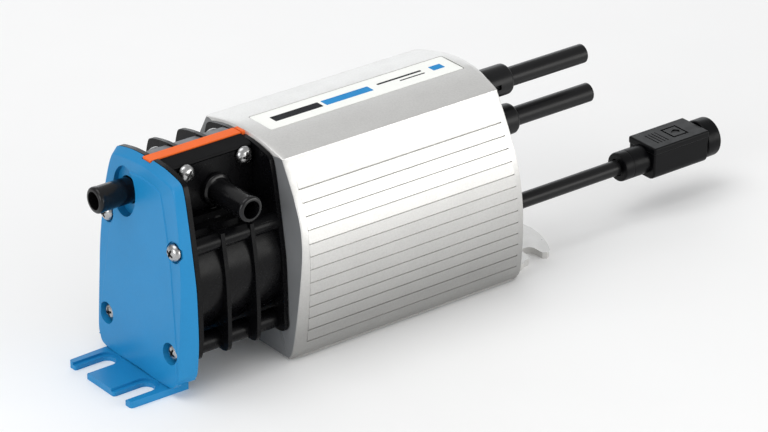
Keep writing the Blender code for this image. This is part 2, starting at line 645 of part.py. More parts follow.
CENTRE = (HOSE_X, *AXIS)
hub = ((5.4, 8.0), (15.0, 8.0), (15.0, 5.6), (6.2, 5.6), (6.2, -5.6), (15.0, -5.6), (15.0, -8.0),
       (5.4, -8.0))
roller_carrier = piece("roller_carrier", turned(((3.3, 8.0),) + hub[1:-1] + ((3.3, -8.0),), CENTRE,
                                                (1, 0, 0), 26), (0.7, 0.7, 0.68), 0.5, 0.0, CENTRE)
for number in range(3):
    angle = math.radians(90 + 120 * number)
    y = ROLLER_RING * math.cos(angle)
    z = AXIS_Z + ROLLER_RING * math.sin(angle)
    cut(roller_carrier, rod((10, y, z), (1, 0, 0), 40, 1.8, 14))
    roller = ((1.65, 5.0), (4.6, 5.0), (ROLLER_R, 4.6), (ROLLER_R, -4.6), (4.6, -5.0), (1.65, -5.0))
    piece(f"roller_{number + 1}", turned(roller, (HOSE_X, y, z), (1, 0, 0), 16), (0.8, 0.8, 0.78),
          0.4, 0.0, (HOSE_X, y, z))
    piece(f"roller_pin_{number + 1}", rod((HOSE_X - 8.4, y, z), (1, 0, 0), 16.8, 1.5, 14), STEEL, 0.3,
          1.0, (HOSE_X, y, z))

piece("output_shaft", rod((19.0, *AXIS), (1, 0, 0), 43.6, 3.0, 20), STEEL, 0.3, 1.0, CENTRE)
bush = ((3.1, 5.2), (6.0, 5.2), (6.0, 0.0), (3.1, 0.0))
piece("shaft_bush", turned(bush, (43.6, *AXIS), (1, 0, 0), 24), (0.5, 0.35, 0.12), 0.4, 1.0)

# ---------------------------------------------------------------- gear train

lay_angle = math.atan2(LAY_AXIS[1] - AXIS_Z, LAY_AXIS[0])
OUT_X, WHEEL_X = (57.4, 62.0), (65.2, 69.4)
output_gear = piece("output_gear", plate(gear(TEETH_OUT, lay_angle, AXIS), *OUT_X),
                    (0.75, 0.73, 0.66), 0.5, 0.0, (OUT_X[0], *AXIS))
cut(output_gear, rod((50, *AXIS), (1, 0, 0), 20, 3.3, 20))
lay_gear = piece("lay_gear", plate(gear(TEETH_WHEEL, lay_angle + math.pi, LAY_AXIS), *WHEEL_X),
                 (0.75, 0.73, 0.66), 0.5, 0.0, (WHEEL_X[0], *LAY_AXIS))
lay_phase = lay_angle + math.pi + math.pi / TEETH_LAY
join(lay_gear, plate(gear(TEETH_LAY, lay_phase, LAY_AXIS), OUT_X[0] - 0.4, WHEEL_X[0] + 1.0))
cut(lay_gear, rod((50, *LAY_AXIS), (1, 0, 0), 30, 1.6, 16))
piece("lay_pin", rod((54.9, *LAY_AXIS), (1, 0, 0), 15.9, 1.5, 16), STEEL, 0.3, 1.0)
pinion_phase = lay_angle + math.pi / TEETH_PINION
motor_pinion = piece("motor_pinion", plate(gear(TEETH_PINION, pinion_phase, AXIS), 65.0, 69.6),
                     (0.55, 0.4, 0.15), 0.35, 1.0, (65.0, *AXIS))
cut(motor_pinion, rod((60, *AXIS), (1, 0, 0), 20, 2.8, 20))

plate_outline = rounded((-24, 18), (24, 68), 8, 4)
for label, low, high, hole in (("front", 52.2, 54.4, 4.6), ("rear", 71.2, 73.4, 6.4)):
    holder = piece(f"gearbox_plate_{label}", plate(plate_outline, low, high), (0.5, 0.5, 0.48), 0.4, 0.8)
    cut(holder, rod((40, *AXIS), (1, 0, 0), 50, hole, 24))
for number, (y, z) in enumerate(((-19, 24), (19, 24), (19, 62)), 1):
    piece(f"gearbox_spacer_{number}", rod((54.7, y, z), (1, 0, 0), 16.2, 2.5, 14), STEEL, 0.35, 1.0)

# ---------------------------------------------------------------- motor

can = ((20.6, 42.0), (22.0, 42.0), (22.0, 0.0), (8.3, 0.0), (8.3, 1.5), (20.6, 1.5))
motor_can = piece("motor_can", turned(can, (73.7, *AXIS), (1, 0, 0), 30), (0.5, 0.5, 0.5), 0.35, 0.9)
bell = ((8.3, 3.0), (19.6, 3.0), (22.0, 1.2), (22.0, 0.0), (8.3, 0.0))
motor_bell = piece("motor_bell", turned(bell, (116.0, *AXIS), (1, 0, 0), 30), (0.5, 0.5, 0.5), 0.35, 0.9)
stack = ((13.6, 24.0), (20.3, 24.0), (20.3, 0.0), (13.6, 0.0))
stator_stack = piece("stator_stack", turned(stack, (84.0, *AXIS), (1, 0, 0), 28), (0.2, 0.2, 0.22),
                     0.5, 0.8)
coil = ((14.4, 5.4), (19.6, 5.4), (20.0, 2.7), (19.6, 0.0), (14.4, 0.0), (14.0, 2.7))
for label, start in (("front", 78.2), ("rear", 108.4)):
    piece(f"stator_coil_{label}", turned(coil, (start, *AXIS), (1, 0, 0), 22), (0.6, 0.25, 0.08), 0.4, 0.8)
core = ((2.8, 24.0), (12.2, 24.0), (13.1, 23.4), (13.1, 0.6), (12.2, 0.0), (2.8, 0.0))
piece("rotor_core", turned(core, (84.0, *AXIS), (1, 0, 0), 24), (0.25, 0.25, 0.27), 0.45, 0.8,
      (84.0, *AXIS))
piece("motor_shaft", rod((64.6, *AXIS), (1, 0, 0), 56.0, 2.5, 20), STEEL, 0.3, 1.0, (64.6, *AXIS))
race = ((2.6, 4.6), (8.0, 4.6), (8.0, 0.0), (2.6, 0.0))
for label, start in (("front", 73.8), ("rear", 115.8)):
    piece(f"motor_bearing_{label}", turned(race, (start, *AXIS), (1, 0, 0), 16), STEEL, 0.3, 1.0)

# ---------------------------------------------------------------- electronics

BOARD_Z = 68.6
piece("circuit_board", box((80.0, -20.0, BOARD_Z), (142.0, 20.0, BOARD_Z + 1.6)), (0.02, 0.16, 0.06), 0.5)
capacitor = ((0, 10.5), (4.2, 10.5), (5.0, 9.8), (5.0, 0.0), (0, 0.0))
piece("capacitor", turned(capacitor, (92.0, -10.0, BOARD_Z + 1.9), (0, 0, 1), 20), (0.02, 0.03, 0.1), 0.35)
piece("terminal_block", box((128.0, -16.0, BOARD_Z + 1.9), (136.0, 16.0, BOARD_Z + 9.5), 0.4),
      (0.03, 0.2, 0.08), 0.45)
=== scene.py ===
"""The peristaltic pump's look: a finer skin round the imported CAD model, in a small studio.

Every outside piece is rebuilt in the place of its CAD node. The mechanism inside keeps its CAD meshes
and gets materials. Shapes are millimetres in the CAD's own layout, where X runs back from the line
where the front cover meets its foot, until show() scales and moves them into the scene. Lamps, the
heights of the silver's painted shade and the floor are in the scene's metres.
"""

import json
import math

import bmesh
import bpy
from mathutils import Matrix, Vector


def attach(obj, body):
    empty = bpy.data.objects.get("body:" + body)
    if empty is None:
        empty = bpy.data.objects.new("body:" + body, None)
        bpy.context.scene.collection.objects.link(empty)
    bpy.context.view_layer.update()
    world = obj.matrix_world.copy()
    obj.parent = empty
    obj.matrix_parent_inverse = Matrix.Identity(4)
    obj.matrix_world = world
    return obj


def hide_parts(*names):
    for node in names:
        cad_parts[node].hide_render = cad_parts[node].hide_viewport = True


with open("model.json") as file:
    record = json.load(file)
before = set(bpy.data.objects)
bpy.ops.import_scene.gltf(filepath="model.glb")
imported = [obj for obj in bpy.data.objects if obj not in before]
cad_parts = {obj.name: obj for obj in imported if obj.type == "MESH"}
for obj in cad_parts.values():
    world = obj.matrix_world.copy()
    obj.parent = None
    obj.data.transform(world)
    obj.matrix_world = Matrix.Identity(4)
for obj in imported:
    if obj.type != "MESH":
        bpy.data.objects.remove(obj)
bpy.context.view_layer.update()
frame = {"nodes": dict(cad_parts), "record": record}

ORIGIN_X = 86.0
TO_SCENE = Matrix.Translation((-ORIGIN_X / 1000, 0, 0)) @ Matrix.Scale(0.001, 4)
ROOT = "pump_body"
X_AXIS = (1, 0, 0)
SIDES = (-1, 1)

# Front cover: its foot, its slots and the lean of its face
COVER_REAR = 7.9
FACE_LEAN = 0.055
BORDER_STEP = 0.35
FOOT_THICK = 2.8
FOOT_TIP = -16.7
FOOT_HALF = 20.4
SLOT_Y = 12.7
SLOT_R = 3.55
SLOT_END = -5.0

# Pump housing, valve block and their screws; pairs are (Y, Z) or a stretch of X
FLANGE_FRONT = (8.2, 10.2)
FLANGE_REAR = (47.4, 49.2)
RIBS = ((21.6, 23.3), (34.7, 36.4))
AXIS_Z = 41.0
DRUM_R = 26.5
LOW_BOSS = (20.5, 17.0)
HIGH_BOSS = (21.8, 57.6)
HIGH_SCREW = (21.4, 58.0)
BLOCK = (10.5, 47.1)
BLOCK_HALF = 9.3
BLOCK_SCREW_X = (17.4, 43.2)
BLOCK_SCREW_Z = 81.0
SCREW_HOLE_R = 1.8
STRIPE_HALF = 2.8
STRIPE_BED = 84.6
INLET = (11.0, 70.0)
OUTLET = (30.6, 71.0)

# Motor cover: tables are (height, X) down its two slanting ends, LAPS are heights of its lapped lines
RIM_FRONT = 49.5
RIM_EDGE = 50.3
REAR_EDGE = ((0, 160.3), (10, 159.4), (22, 158.1), (34, 156.3), (45, 154.1), (56, 152.2), (64, 151.3),
             (82, 151.0), (84, 152.3), (90, 157.5))
PANEL_EDGE = ((0, 56.3), (8.6, 55.8), (30, 54.6), (52, 52.9), (100, 52.9))
REAR_BAND = 3.1
LAPS = (72.2, 67.5, 62.8, 57.7, 52.2, 46.9, 41.3, 35.5, 29.9, 24.6, 19.4, 13.9, 8.6)
LAP_TOP = 76.5
LAP_STEP = 0.2
GROOVE_DEPTH = 0.5
NAMEPLATE = ((57.4, -7.3), (148.7, 7.3))

# Cables: each stub is (name, height, far end, sleeve end)
CABLE_Y = -8.0
LEAD_Z = 21.5
LEAD_R = 3.15
LEAD_END = 226.5
STUB_R = 3.85
STUBS = (("upper", 76.7, 206.8, 168.0), ("lower", 59.1, 210.4, 171.3))


# ------------------------------------------------------------------ camera, light and floor

def world_point(x, y, z):
    return TO_SCENE @ Vector((x, y, z))


CAMERA_PLACE = (-687.1, -1038.4, 680.5)
CAMERA_TILT = 63.65
CAMERA_TURN = -37.7

camera_data = bpy.data.cameras.new("camera")
camera_data.lens = 179.06
camera_data.sensor_width = 36.0
camera = bpy.data.objects.new("camera", camera_data)
camera.location = world_point(*CAMERA_PLACE)
camera.rotation_euler = (math.radians(CAMERA_TILT), 0, math.radians(CAMERA_TURN))
bpy.context.scene.collection.objects.link(camera)
bpy.context.scene.camera = camera


def lamp(name, place, size, power, colour):
    """A soft box that shines at the middle of the pump."""
    data = bpy.data.lights.new(name, "AREA")
    data.shape = "RECTANGLE"
    data.size, data.size_y = size
    data.energy = power
    data.color = colour
    obj = bpy.data.objects.new(name, data)
    obj.location = place
    obj.rotation_euler = (Vector(AIM) - Vector(place)).to_track_quat("-Z", "Y").to_euler()
    bpy.context.scene.collection.objects.link(obj)


AIM = (0.02, 0.0, 0.04)
lamp("key", (0.62, -1.0, 0.24), (1.2, 0.5), 6.5, (1.0, 0.995, 0.97))
lamp("front_fill", (-1.05, -0.3, 0.42), (0.7, 0.6), 4.2, (0.97, 0.985, 1.0))
lamp("back_light", (0.7, 1.1, 0.4), (1.2, 0.5), 2.6, (0.93, 0.965, 1.0))
lamp("top_light", (-0.35, 0.15, 1.3), (0.9, 0.9), 6.0, (1.0, 1.0, 1.0))

world = bpy.data.worlds.new("studio")
world.use_nodes = True
background = world.node_tree.nodes["Background"].inputs
background["Color"].default_value = (1.0, 1.0, 1.0, 1.0)
background["Strength"].default_value = 0.56
bpy.context.scene.world = world
bpy.context.scene.view_settings.view_transform = "Standard"


# ------------------------------------------------------------------ materials

# Heights in metres between which the painted shade on a material fades from its darkest to none
PAINTED_SHADE_HEIGHTS = (0.012, 0.056)


def add(tree, kind, **settings):
    """A shader node with the named properties or input values set."""
    node = tree.nodes.new(kind)
    for key, value in settings.items():
        if hasattr(node, key):
            setattr(node, key, value)
        else:
            node.inputs[key].default_value = value
    return node


def noise(tree, coordinates, size, detail=3.0, stretch=(1, 1, 1)):
    """Noise whose features are about size millimetres across."""
    mapping = add(tree, "ShaderNodeMapping")
    mapping.inputs["Scale"].default_value = [1000.0 / size / s for s in stretch]
    tree.links.new(coordinates.outputs["Object"], mapping.inputs["Vector"])
    texture = add(tree, "ShaderNodeTexNoise", Scale=1.0, Detail=detail, Roughness=0.55)
    tree.links.new(mapping.outputs["Vector"], texture.inputs["Vector"])
    return texture.outputs["Fac"]


def ramp(tree, source, low, high, start=0.3, stop=0.7):
    """Maps source from start..stop to low..high."""
    node = add(tree, "ShaderNodeMapRange")
    node.inputs["From Min"].default_value = start
    node.inputs["From Max"].default_value = stop
    node.inputs["To Min"].default_value = low
    node.inputs["To Max"].default_value = high
    tree.links.new(source, node.inputs["Value"])
    return node.outputs["Result"]


def times(tree, colour, factor):
    node = add(tree, "ShaderNodeVectorMath", operation="SCALE")
    tree.links.new(colour, node.inputs[0])
    tree.links.new(factor, node.inputs["Scale"])
    return node.outputs["Vector"]


def moulded(name, colour, roughness, metallic=0.0, mottle=0.08, mottle_size=9.0, spread=0.07,
            grain=0.35, grain_depth=0.02, stretch=(1, 1, 1), specular=0.5, speck=0.0, painted_shade_factor=1.0):
    """A material with slow colour drift, uneven gloss and a fine surface grain.

    Mottle, spread and speck are how much the colour, the roughness and the finest flecks vary. Sizes and
    grain_depth are millimetres. The last argument, below 1, darkens the colour downwards as painted shade.
    """
    material = bpy.data.materials.new(name)
    material.use_nodes = True
    tree = material.node_tree
    shader = tree.nodes["Principled BSDF"]
    place = add(tree, "ShaderNodeTexCoord")
    drift = ramp(tree, noise(tree, place, mottle_size, 4.0, stretch), 0.0, 1.0)
    mix = add(tree, "ShaderNodeMix", data_type="RGBA")
    dark = [c * (1 - mottle) for c in colour]
    light = [min(1.0, c * (1 + mottle)) for c in colour]
    mix.inputs["A"].default_value = (*dark, 1)
    mix.inputs["B"].default_value = (*light, 1)
    tree.links.new(drift, mix.inputs["Factor"])
    colour_out = mix.outputs["Result"]
    if speck:
        flecks = ramp(tree, noise(tree, place, 0.7, 2.0), 1 - speck, 1 + speck, 0.25, 0.75)
        colour_out = times(tree, colour_out, flecks)
    # Painted shade: the colour darkens towards the bottom of the object.
    if painted_shade_factor < 1.0:
        height = add(tree, "ShaderNodeSeparateXYZ")
        tree.links.new(place.outputs["Object"], height.inputs["Vector"])
        painted_shade = ramp(tree, height.outputs["Z"], painted_shade_factor, 1.0, *PAINTED_SHADE_HEIGHTS)
        colour_out = times(tree, colour_out, painted_shade)
    tree.links.new(colour_out, shader.inputs["Base Color"])
    gloss = ramp(tree, noise(tree, place, mottle_size * 0.45, 5.0, stretch),
                 max(0.02, roughness - spread), min(1.0, roughness + spread))
    tree.links.new(gloss, shader.inputs["Roughness"])
    bump = add(tree, "ShaderNodeBump")
    bump.inputs["Strength"].default_value = 0.6
    bump.inputs["Distance"].default_value = grain_depth * 0.001
    tree.links.new(noise(tree, place, grain, 3.0, stretch), bump.inputs["Height"])
    tree.links.new(bump.outputs["Normal"], shader.inputs["Normal"])
    shader.inputs["Metallic"].default_value = metallic
    shader.inputs["Specular IOR Level"].default_value = specular
    return material


BLUE = moulded("blue_moulding", (0.011, 0.215, 0.475), 0.36, mottle=0.03, mottle_size=16, grain=0.45,
               grain_depth=0.008, speck=0.03, spread=0.04, specular=0.3)
BLACK = moulded("black_moulding", (0.0025, 0.0025, 0.003), 0.28, mottle=0.2, grain=0.4,
                grain_depth=0.008, specular=0.13)
BLACK_GLOSS = moulded("black_spigot", (0.004, 0.004, 0.0045), 0.24, mottle=0.2, grain=0.5,
                      grain_depth=0.005, spread=0.04, specular=0.34)
GREY = moulded("grey_moulding", (0.13, 0.135, 0.145), 0.5, mottle=0.08)
LABEL_BLACK = moulded("black_label", (0.008, 0.008, 0.0085), 0.5, mottle=0.1, grain=0.2,
                      grain_depth=0.004, specular=0.05)
ORANGE = moulded("orange_label", (0.88, 0.15, 0.025), 0.5, mottle=0.04, grain=0.2, grain_depth=0.004,
                 specular=0.1)
# The silver carries painted shade: its colour darkens towards the bottom.
SILVER = moulded("silver_coat_and_painted_shade", (0.72, 0.715, 0.70), 0.45, metallic=0.85, painted_shade_factor=0.5, mottle=0.02,
                 mottle_size=14, grain=0.5, grain_depth=0.006, speck=0.05, spread=0.03)
# A dark grey for the cover's front rim, painted shade in place of the silver there.
RIM_PAINTED_SHADE = moulded("cover_rim_painted_shade", (0.17, 0.175, 0.18), 0.5, metallic=0.1, mottle=0.05, mottle_size=14)
SILVER_PLAIN = moulded("silver_moulding", (0.62, 0.615, 0.6), 0.34, metallic=0.5, mottle=0.04, speck=0.03)
CREAM = moulded("cream_label", (0.93, 0.94, 0.90), 0.38, mottle=0.015, grain=0.25, grain_depth=0.003)
INK = moulded("label_ink", (0.012, 0.013, 0.016), 0.5, mottle=0.1, grain=0.2, grain_depth=0.002,
              specular=0.05)
BLUE_INK = moulded("label_blue_ink", (0.02, 0.26, 0.6), 0.5, mottle=0.06, grain=0.2, grain_depth=0.002,
                   specular=0.05)
STEEL = moulded("screw_steel", (0.42, 0.42, 0.42), 0.27, metallic=1.0, mottle=0.05, mottle_size=3.0,
                grain=0.3, grain_depth=0.003, spread=0.04)
RUBBER = moulded("cable_sheath", (0.006, 0.006, 0.0065), 0.34, mottle=0.12, grain=0.5,
                 grain_depth=0.008, stretch=(4, 1, 1), specular=0.22, spread=0.04)
PLUG_BLACK = moulded("plug_moulding", (0.002, 0.0021, 0.0026), 0.34, mottle=0.12, grain=0.3,
                     grain_depth=0.012, specular=0.13)
NYLON = moulded("natural_nylon", (0.74, 0.72, 0.64), 0.45, mottle=0.05)
HOSE = moulded("hose_rubber", (0.012, 0.012, 0.012), 0.55, mottle=0.1, specular=0.3)
PLATE_STEEL = moulded("plate_steel", (0.5, 0.5, 0.49), 0.35, metallic=1.0, stretch=(6, 1, 1))
LAMINATION = moulded("lamination", (0.2, 0.2, 0.21), 0.45, metallic=0.9, stretch=(0.3, 4, 4))
COPPER = moulded("copper_winding", (0.72, 0.32, 0.14), 0.32, metallic=1.0, stretch=(0.4, 3, 3))
BRASS = moulded("brass", (0.72, 0.5, 0.2), 0.3, metallic=1.0)
BOARD = moulded("circuit_board_green", (0.02, 0.15, 0.06), 0.45, mottle=0.15)
FLOOR = moulded("studio_floor", (0.94, 0.94, 0.94), 0.7, mottle=0.004, mottle_size=60, grain=2.0,
                grain_depth=0.01)

SLOTS = {"blue_plastic": BLUE, "black_plastic": BLACK, "grey_plastic": GREY, "silver_shell": SILVER,
         "silver_plastic": SILVER_PLAIN, "orange_strip": ORANGE, "cream_label": CREAM,
         "screw_steel": STEEL, "cable_pvc": RUBBER, "hose_rubber": HOSE, "nylon": NYLON, "brass": BRASS,
         "steel": PLATE_STEEL, "lamination": LAMINATION, "copper_winding": COPPER, "board": BOARD}
SLOT_OF = {row["node"]: row["material_slot"] for row in frame["record"]["subparts"]}
for name, obj in frame["nodes"].items():
    obj.data.materials.clear()
    obj.data.materials.append(SLOTS[SLOT_OF[name]])


# ------------------------------------------------------------------ mesh helpers, in millimetres

def finish(bm):
    """Turns a bmesh into a mesh with its faces pointing out."""
    bmesh.ops.remove_doubles(bm, verts=bm.verts, dist=1e-4)
    bmesh.ops.recalc_face_normals(bm, faces=bm.faces)
    mesh = bpy.data.meshes.new("mesh")
    bm.to_mesh(mesh)
    bm.free()
    return mesh


def baked(obj):
    """The object's mesh with its modifiers applied. The object is removed."""
    bpy.context.scene.collection.objects.link(obj)
    bpy.context.view_layer.update()
    graph = bpy.context.evaluated_depsgraph_get()
    mesh = bpy.data.meshes.new_from_object(obj.evaluated_get(graph))
    mesh.transform(obj.matrix_world)
    bpy.data.objects.remove(obj, do_unlink=True)
    bm = bmesh.new()
    bm.from_mesh(mesh)
    return finish(bm)


PLANES = {
    "X": Matrix(((0, 0, 1, 0), (1, 0, 0, 0), (0, 1, 0, 0), (0, 0, 0, 1))),
    "Y": Matrix(((1, 0, 0, 0), (0, 0, -1, 0), (0, 1, 0, 0), (0, 0, 0, 1))),
    "Z": Matrix.Identity(4),
}


def plate(outline, low, high, normal="X"):
    """An outline, drawn in the plane across the normal, from low to high along it."""
    bm = bmesh.new()
    face = bm.faces.new([bm.verts.new((a, b, 0)) for a, b in outline])
    grown = bmesh.ops.extrude_face_region(bm, geom=[face])
    raised = [v for v in grown["geom"] if isinstance(v, bmesh.types.BMVert)]
    bmesh.ops.translate(bm, vec=(0, 0, high - low), verts=raised)
    lift = Matrix.Translation((0, 0, -high if normal == "Y" else low))
    bm.transform(PLANES[normal] @ lift)
    return finish(bm)


def box(low, high):
    bm = bmesh.new()
    bmesh.ops.create_cube(bm, size=1.0)
    bmesh.ops.scale(bm, vec=[b - a for a, b in zip(low, high)], verts=bm.verts)
    bmesh.ops.translate(bm, vec=[(a + b) / 2 for a, b in zip(low, high)], verts=bm.verts)
    return finish(bm)


def direction(axis):
    """The turn that takes +Z to an axis."""
    return Vector((0, 0, 1)).rotation_difference(Vector(axis)).to_matrix().to_4x4()


def rod(start, axis, length, radius, sides=48):
    bm = bmesh.new()
    bmesh.ops.create_cone(bm, cap_ends=True, segments=sides, radius1=radius, radius2=radius, depth=length)
    bmesh.ops.translate(bm, vec=(0, 0, length / 2), verts=bm.verts)
    bm.transform(Matrix.Translation(start) @ direction(axis))
    return finish(bm)


def turned(profile, start, axis, sides=64):
    """Spins (radius, height) points about the axis; a profile off the axis closes on itself."""
    bm = bmesh.new()
    verts = [bm.verts.new((r, 0, h)) for r, h in profile]
    edges = [bm.edges.new(pair) for pair in zip(verts, verts[1:])]
    if profile[0][0] > 0 and profile[-1][0] > 0:
        edges.append(bm.edges.new((verts[-1], verts[0])))
    bmesh.ops.spin(bm, geom=verts + edges, cent=(0, 0, 0), axis=(0, 0, 1), dvec=(0, 0, 0),
                   angle=math.tau, steps=sides, use_merge=False)
    bmesh.ops.remove_doubles(bm, verts=bm.verts, dist=1e-4)
    bm.transform(Matrix.Translation(start) @ direction(axis))
    return finish(bm)


def loft(rings, mirrored=True):
    """A closed skin over rings. Mirror-image rings get flat strips across their ends."""
    bm = bmesh.new()
    loops = [[bm.verts.new(point) for point in ring] for ring in rings]
    count = len(rings[0])
    for near, far in zip(loops, loops[1:]):
        for i in range(count):
            j = (i + 1) % count
            bm.faces.new((near[i], near[j], far[j], far[i]))
    for loop in (loops[0], loops[-1]):
        if not mirrored:
            bm.faces.new(loop)
            continue
        for i in range(count // 2):
            corners = (loop[i], loop[i + 1], loop[count - i - 1], loop[-i])
            bm.faces.new(list(dict.fromkeys(corners)))
    return finish(bm)


def between(table, z):
    """The value that a table of (height, value) rows gives at a height."""
    for (z0, x0), (z1, x1) in zip(table, table[1:]):
        if z0 <= z <= z1:
            return x0 + (x1 - x0) * (z - z0) / (z1 - z0)
    return table[-1][1]


def rear_x(z):
    """Where the motor cover ends at a height."""
    return between(REAR_EDGE, z)


def union(meshes):
    """Separate closed shapes in one mesh, for cutters that don't touch each other."""
    bm = bmesh.new()
    for mesh in meshes:
        bm.from_mesh(mesh)
    return finish(bm)


def ordered(mesh):
    """The same mesh with points and faces in a fixed order, which a Boolean's result doesn't keep."""
    points = [tuple(vertex.co) for vertex in mesh.vertices]
    spots = sorted(range(len(points)), key=lambda i: [round(value, 4) for value in points[i]])
    rank = {old: new for new, old in enumerate(spots)}
    faces = []
    for polygon in mesh.polygons:
        corners = [rank[i] for i in polygon.vertices]
        first = corners.index(min(corners))
        faces.append(corners[first:] + corners[:first])
    fresh = bpy.data.meshes.new("mesh")
    fresh.from_pydata([points[i] for i in spots], [], sorted(faces))
    return fresh


def solid(mesh, joins=(), cuts=()):
    """Joins and then cuts, each as a Boolean, with nothing left behind."""
    obj = bpy.data.objects.new("solid", mesh)
    bpy.context.scene.collection.objects.link(obj)
    tools = []
    for operation, group in (("UNION", joins), ("DIFFERENCE", cuts)):
        for shape in group:
            helper = bpy.data.objects.new("helper", shape)
            bpy.context.scene.collection.objects.link(helper)
            tools.append(helper)
            modifier = obj.modifiers.new("combine", "BOOLEAN")
            modifier.object = helper
            modifier.operation = operation
            modifier.solver = "MANIFOLD"
    bpy.context.view_layer.update()
    graph = bpy.context.evaluated_depsgraph_get()
    result = bpy.data.meshes.new_from_object(obj.evaluated_get(graph))
    for helper in [*tools, obj]:
        bpy.data.objects.remove(helper, do_unlink=True)
    return ordered(result)


def softened(mesh, width, segments=3, angle=28):
    """Rounds every edge sharper than the angle."""
    bm = bmesh.new()
    bm.from_mesh(mesh)
    bmesh.ops.dissolve_limit(bm, angle_limit=math.radians(0.6), verts=bm.verts, edges=bm.edges)
    clean = finish(bm)
    obj = bpy.data.objects.new("softened", clean)
    bevel = obj.modifiers.new("bevel", "BEVEL")
    bevel.width = width
    bevel.segments = segments
    bevel.limit_method = "ANGLE"
    bevel.angle_limit = math.radians(angle)
    bm = bmesh.new()
    bm.from_mesh(baked(obj))
    bmesh.ops.remove_doubles(bm, verts=bm.verts, dist=0.002)
    bmesh.ops.dissolve_degenerate(bm, dist=0.002, edges=bm.edges)
    return finish(bm)


def show(name, mesh, material, replaced=(), body=ROOT, sharp=40):
    """Puts a finished mesh in the scene, on its body, in place of its CAD nodes."""
    mesh.transform(TO_SCENE)
    mesh.materials.clear()
    mesh.materials.append(material)
    mesh.shade_smooth()
    mesh.set_sharp_from_angle(angle=math.radians(sharp))
    obj = bpy.data.objects.new(name, mesh)
    bpy.context.scene.collection.objects.link(obj)
    weighted = obj.modifiers.new("normals", "WEIGHTED_NORMAL")
    weighted.keep_sharp = True
    weighted.weight = 90
    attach(obj, body)
    if replaced:
        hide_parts(*replaced)
    return obj


# ------------------------------------------------------------------ outlines, as in the CAD

def smooth(points, steps):
    """A Catmull-Rom curve through the points."""
    padded = [points[0], *points, points[-1]]
    found = []
    for i in range(1, len(padded) - 2):
        p0, p1, p2, p3 = (Vector(p) for p in padded[i - 1:i + 3])
        for k in range(steps):
            t = k / steps
            found.append(0.5 * (2 * p1 + (p2 - p0) * t + (2 * p0 - 5 * p1 + 4 * p2 - p3) * t * t
                                + (3 * p1 - p0 - 3 * p2 + p3) * t ** 3))
    found.append(Vector(points[-1]))
    return [tuple(p) for p in found]


def closed(half):
    """A half outline and its mirror image."""
    return half + [(-y, z) for y, z in reversed(half[1:-1])]


def inset(outline, distance):
    """The outline moved in. It may fold at a corner that is tighter than the distance."""
    found = []
    count = len(outline)
    for i, here in enumerate(outline):
        before = Vector(outline[i - 1])
        after = Vector(outline[(i + 1) % count])
        here = Vector(here)
        first = (here - before).normalized()
        second = (after - here).normalized()
        left = Vector((-(first.y + second.y), first.x + second.x)).normalized()
        found.append(tuple(here + left * distance / max(0.5, left.dot(Vector((-first.y, first.x))))))
    return found


def arc(centre, radius, start, stop, steps):
    spread = [math.radians(start + (stop - start) * i / steps) for i in range(steps + 1)]
    return [(centre[0] + radius * math.cos(a), centre[1] + radius * math.sin(a)) for a in spread]


def rounded(low, high, radius, steps=6):
    """A rectangle with round corners."""
    found = []
    corners = ((high[0] - radius, low[1] + radius, -90), (high[0] - radius, high[1] - radius, 0),
               (low[0] + radius, high[1] - radius, 90), (low[0] + radius, low[1] + radius, 180))
    for a, b, turn in corners:
        found += arc((a, b), radius, turn, turn + 90, steps)
    return found


FINE = 4    # steps of curve between neighbouring points
BODY_HALF = smooth([(0, 6.3), (23.8, 6.3), (26.6, 7.4), (27.9, 10.2), (28.8, 17.0), (29.2, 24.0),
                    (29.0, 34.0), (28.4, 45.0), (26.4, 57.7), (24.9, 66.5), (23.1, 76.0),
                    (21.9, 80.8), (20.4, 83.6), (16.5, 84.9), (10.6, 86.0), (5.0, 86.4), (0, 86.5)],
                   FINE)
FACE_HALF = smooth([(0, 6.3), (23.6, 6.3), (25.2, 7.0), (25.9, 9.5), (26.0, 17.0), (26.0, 25.0),
                    (26.0, 34.0), (25.8, 45.0), (24.8, 57.0), (23.8, 65.0), (21.8, 74.0),
                    (19.9, 79.5), (18.0, 81.7), (13.5, 82.7), (8.0, 83.3), (4.0, 83.7), (0, 83.9)],
                   FINE)
PANEL_HALF = smooth([(0, 3.0), (20.3, 3.0), (24.9, 6.6), (25.0, 12.0), (24.7, 18.0), (24.1, 23.7),
                     (22.0, 37.8), (19.7, 52.0), (17.5, 61.0), (14.4, 72.0), (12.6, 77.0),
                     (11.3, 78.4), (6.0, 79.5), (0, 79.9)], FINE)
SHELL_HALF = smooth([(0, 0.8), (24.4, 0.8), (27.3, 1.4), (29.2, 4.2), (30.5, 9.0), (32.1, 17.0),
                     (33.8, 27.0), (35.4, 38.0), (36.3, 47.5), (36.0, 55.0), (34.8, 61.0),
                     (32.3, 67.6), (28.4, 75.2), (26.3, 79.0), (24.6, 82.1), (23.6, 82.9), (18.0, 84.2),
                     (11.9, 85.4), (6.0, 86.1), (0, 86.3)], FINE)
SHELL = closed(SHELL_HALF)


def housing_outline(bottom, shrink=0.0):
    """The outline of a flange or rib, cut off level at the bottom and drawn in by shrink."""
    low = [(0, bottom), *smooth([(24.6, bottom), (27.2, bottom + 0.8), (28.2, bottom + 3.0)], 3)]
    side = [(y - shrink, z - shrink * 0.8) for y, z in BODY_HALF
            if z > bottom + 8.0 and y > shrink + 1.0]
    return closed(low + side + [(0, 86.5 - shrink * 0.8)])


# ------------------------------------------------------------------ cables and connector

def cap_face(z):
    """Where a cable comes through the rear cap's outer face."""
    return rear_x(z) - 0.8


def cord_route(start, end, z, count):
    return [(start + (end - start) * i / (count - 1), CABLE_Y, z) for i in range(count)]


